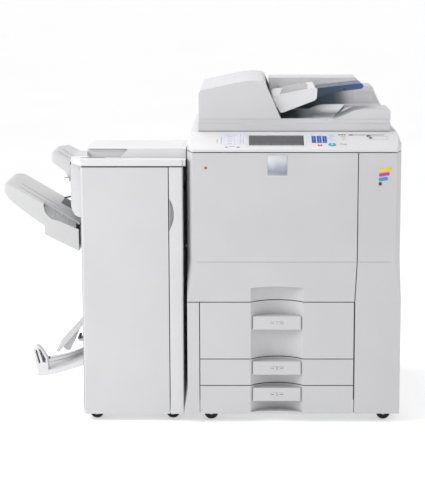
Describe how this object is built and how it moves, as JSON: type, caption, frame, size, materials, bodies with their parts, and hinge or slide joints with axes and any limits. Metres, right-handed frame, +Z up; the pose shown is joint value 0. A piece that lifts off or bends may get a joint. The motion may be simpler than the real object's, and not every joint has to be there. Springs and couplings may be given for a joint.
{
  "type": "photocopier",
  "caption": "Floor-standing office photocopier with a sloped console, document feeder, front paper drawers on recessed grips, casters and a docked booklet finisher.",
  "frame": {"origin": "middle of the footprint on the floor, of copier body, finisher and trays together", "axes": "+Z up, +X to the right of someone facing the machine, +Y from its front to its back"},
  "size_m": [1.407, 0.85, 1.2011],
  "materials": {
    "outer_cover": "fine texture",
    "top_cover": "fine texture",
    "steel_frame": "zinc plated",
    "controller_box": "folded sheet",
    "platen_glass": "polished",
    "display": "anti-glare",
    "inner_cover": "fine texture",
    "blue_plastic": "satin",
    "black_plastic": "satin",
    "laser_housing": "satin",
    "belt": "satin",
    "toner": "satin",
    "roller_rubber": "matt",
    "tyre": "satin",
    "number_key": "satin",
    "function_key": "satin",
    "start_key": "satin",
    "stop_key": "satin"
  },
  "bodies": {
    "copier": {"main_frame": "steel_frame", "left_cover": "outer_cover", "right_cover": "outer_cover", "rear_cover": "outer_cover", "control_panel": "top_cover", "upper_deck": "top_cover", "platen_glass": "platen_glass", "touch_screen": "display", "inner_cover": "inner_cover", "toner_bottles": "toner", "drum_cartridges": "black_plastic", "transfer_belt": "belt", "laser_unit": "laser_housing", "fuser_unit": "black_plastic", "controller_box": "controller_box", "feeder_hinges": "steel_frame"},
    "front_door": {"front_door": "outer_cover"},
    "side_door": {"side_door": "outer_cover"},
    "drawer_1": {"tray_1": "outer_cover", "tray_1_handle": "top_cover"},
    "drawer_2": {"tray_2": "outer_cover", "tray_2_handle": "top_cover"},
    "drawer_3": {"tray_3": "outer_cover", "tray_3_handle": "top_cover"},
    "bypass_tray": {"bypass_tray": "outer_cover"},
    "scan_carriage": {"scan_carriage": "black_plastic"},
    "number_keys": {"number_keys": "number_key"},
    "function_keys": {"function_keys": "function_key"},
    "start_key": {"start_key": "start_key"},
    "stop_key": {"stop_key": "stop_key"},
    "feeder": {"feeder_base": "outer_cover", "platen_pad": "top_cover"},
    "feeder_cover": {"feeder_cover": "outer_cover"},
    "document_table": {"document_table": "top_cover"},
    "table_extension": {"table_extension": "blue_plastic"},
    "front_fence": {"front_fence": "outer_cover"},
    "rear_fence": {"rear_fence": "outer_cover"},
    "feed_roller": {"feed_roller": "roller_rubber"},
    "finisher": {"finisher_frame": "steel_frame", "finisher_cover": "outer_cover", "finisher_top": "top_cover", "upper_tray": "outer_cover", "booklet_tray": "outer_cover", "stapler": "black_plastic", "finisher_caster_forks": "steel_frame"},
    "finisher_door": {"finisher_door": "outer_cover"},
    "shift_tray": {"shift_tray": "outer_cover"},
    "booklet_flap": {"booklet_flap": "outer_cover"},
    "exit_rollers": {"exit_rollers": "roller_rubber"},
    "sensor_arm": {"sensor_arm": "black_plastic"},
    "finisher_left_wheels": {"finisher_left_wheels": "tyre"},
    "finisher_right_wheels": {"finisher_right_wheels": "tyre"},
    "swivel_front_left": {"caster_fork_front_left": "steel_frame"},
    "wheel_front_left": {"caster_wheel_front_left": "tyre"},
    "swivel_front_right": {"caster_fork_front_right": "steel_frame"},
    "wheel_front_right": {"caster_wheel_front_right": "tyre"},
    "swivel_rear_left": {"caster_fork_rear_left": "steel_frame"},
    "wheel_rear_left": {"caster_wheel_rear_left": "tyre"},
    "swivel_rear_right": {"caster_fork_rear_right": "steel_frame"},
    "wheel_rear_right": {"caster_wheel_rear_right": "tyre"}
  },
  "joints": [
    {"name": "front_door_hinge", "type": "hinge", "parent": "copier", "child": "front_door", "pos_m": [-0.0245, -0.409, 0.7], "axis": [0, 0, -1], "range_deg": [0, 100]},
    {"name": "side_door_hinge", "type": "hinge", "parent": "copier", "child": "side_door", "pos_m": [0.6815, -0.409, 0.5], "axis": [0, 0, 1], "range_deg": [0, 100]},
    {"name": "drawer_1_slide", "type": "slide", "parent": "copier", "child": "drawer_1", "axis": [0, -1, 0], "range_m": [0, 0.5]},
    {"name": "drawer_2_slide", "type": "slide", "parent": "copier", "child": "drawer_2", "axis": [0, -1, 0], "range_m": [0, 0.5]},
    {"name": "drawer_3_slide", "type": "slide", "parent": "copier", "child": "drawer_3", "axis": [0, -1, 0], "range_m": [0, 0.5]},
    {"name": "bypass_tray_hinge", "type": "hinge", "parent": "copier", "child": "bypass_tray", "pos_m": [0.6965, -0.03, 0.568], "axis": [0, 1, 0], "range_deg": [0, 70]},
    {"name": "scan_carriage_slide", "type": "slide", "parent": "copier", "child": "scan_carriage", "axis": [1, 0, 0], "range_m": [0, 0.44]},
    {"name": "number_keys_press", "type": "slide", "parent": "copier", "child": "number_keys", "axis": [0, 0.3048, -0.9524], "range_m": [0, 0.0014], "stiffness_N_per_m": 1200},
    {"name": "function_keys_press", "type": "slide", "parent": "copier", "child": "function_keys", "axis": [0, 0.3048, -0.9524], "range_m": [0, 0.0009], "stiffness_N_per_m": 900},
    {"name": "start_key_press", "type": "slide", "parent": "copier", "child": "start_key", "axis": [0, 0.3048, -0.9524], "range_m": [0, 0.0014], "stiffness_N_per_m": 700},
    {"name": "stop_key_press", "type": "slide", "parent": "copier", "child": "stop_key", "axis": [0, 0.3048, -0.9524], "range_m": [0, 0.0014], "stiffness_N_per_m": 500},
    {"name": "feeder_lift", "type": "hinge", "parent": "copier", "child": "feeder", "pos_m": [0.3285, 0.326, 1.032], "axis": [-1, 0, 0], "range_deg": [0, 60]},
    {"name": "feeder_cover_hinge", "type": "hinge", "parent": "feeder", "child": "feeder_cover", "pos_m": [0.0025, 0.015, 1.159], "axis": [0, -1, 0], "range_deg": [0, 70]},
    {"name": "document_table_hinge", "type": "hinge", "parent": "feeder", "child": "document_table", "pos_m": [0.2625, -0.065, 1.129], "axis": [0, -1, 0], "range_deg": [0, 30]},
    {"name": "table_extension_slide", "type": "slide", "parent": "document_table", "child": "table_extension", "axis": [0.9937, 0, 0.1122], "range_m": [0, 0.06]},
    {"name": "front_fence_slide", "type": "slide", "parent": "document_table", "child": "front_fence", "axis": [0, 1, 0], "range_m": [0, 0.105]},
    {"name": "rear_fence_slide", "type": "slide", "parent": "document_table", "child": "rear_fence", "axis": [0, -1, 0], "range_m": [0, 0.105]},
    {"name": "feed_roller_spin", "type": "hinge", "parent": "feeder", "child": "feed_roller", "pos_m": [0.1785, 0.015, 1.127], "axis": [0, 1, 0], "continuous": true},
    {"name": "swivel_front_left_turn", "type": "hinge", "parent": "copier", "child": "swivel_front_left", "pos_m": [0.0255, -0.365, 0.06], "axis": [0, 0, 1], "continuous": true},
    {"name": "wheel_front_left_spin", "type": "hinge", "parent": "swivel_front_left", "child": "wheel_front_left", "pos_m": [0.0355, -0.365, 0.025], "axis": [0, 1, 0], "continuous": true},
    {"name": "swivel_front_right_turn", "type": "hinge", "parent": "copier", "child": "swivel_front_right", "pos_m": [0.6405, -0.365, 0.06], "axis": [0, 0, 1], "continuous": true},
    {"name": "wheel_front_right_spin", "type": "hinge", "parent": "swivel_front_right", "child": "wheel_front_right", "pos_m": [0.6505, -0.365, 0.025], "axis": [0, 1, 0], "continuous": true},
    {"name": "swivel_rear_left_turn", "type": "hinge", "parent": "copier", "child": "swivel_rear_left", "pos_m": [0.0255, 0.355, 0.06], "axis": [0, 0, 1], "continuous": true},
    {"name": "wheel_rear_left_spin", "type": "hinge", "parent": "swivel_rear_left", "child": "wheel_rear_left", "pos_m": [0.0355, 0.355, 0.025], "axis": [0, 1, 0], "continuous": true},
    {"name": "swivel_rear_right_turn", "type": "hinge", "parent": "copier", "child": "swivel_rear_right", "pos_m": [0.6405, 0.355, 0.06], "axis": [0, 0, 1], "continuous": true},
    {"name": "wheel_rear_right_spin", "type": "hinge", "parent": "swivel_rear_right", "child": "wheel_rear_right", "pos_m": [0.6505, 0.355, 0.025], "axis": [0, 1, 0], "continuous": true},
    {"name": "finisher_undock", "type": "slide", "parent": "copier", "child": "finisher", "axis": [-1, 0, 0], "range_m": [0, 0.25]},
    {"name": "finisher_door_hinge", "type": "hinge", "parent": "finisher", "child": "finisher_door", "pos_m": [-0.4045, -0.394, 0.5], "axis": [0, 0, -1], "range_deg": [0, 100]},
    {"name": "shift_tray_lift", "type": "slide", "parent": "finisher", "child": "shift_tray", "axis": [0, 0, -1], "range_m": [0, 0.2]},
    {"name": "booklet_flap_hinge", "type": "hinge", "parent": "finisher", "child": "booklet_flap", "pos_m": [-0.4265, -0.105, 0.326], "axis": [0, 1, 0], "range_deg": [0, 70]},
    {"name": "exit_rollers_spin", "type": "hinge", "parent": "finisher", "child": "exit_rollers", "pos_m": [-0.4355, -0.11, 0.748], "axis": [0, 1, 0], "continuous": true},
    {"name": "sensor_arm_hinge", "type": "hinge", "parent": "finisher", "child": "sensor_arm", "pos_m": [-0.4415, -0.115, 0.778], "axis": [0, 1, 0], "range_deg": [0, 25]},
    {"name": "finisher_left_wheels_spin", "type": "hinge", "parent": "finisher", "child": "finisher_left_wheels", "pos_m": [-0.3745, -0.125, 0.025], "axis": [0, 1, 0], "continuous": true},
    {"name": "finisher_right_wheels_spin", "type": "hinge", "parent": "finisher", "child": "finisher_right_wheels", "pos_m": [-0.1015, -0.125, 0.025], "axis": [0, 1, 0], "continuous": true}
  ],
  "couplings": [
    {"joint": "rear_fence_slide", "follows": "front_fence_slide", "ratio": 1}
  ]
}
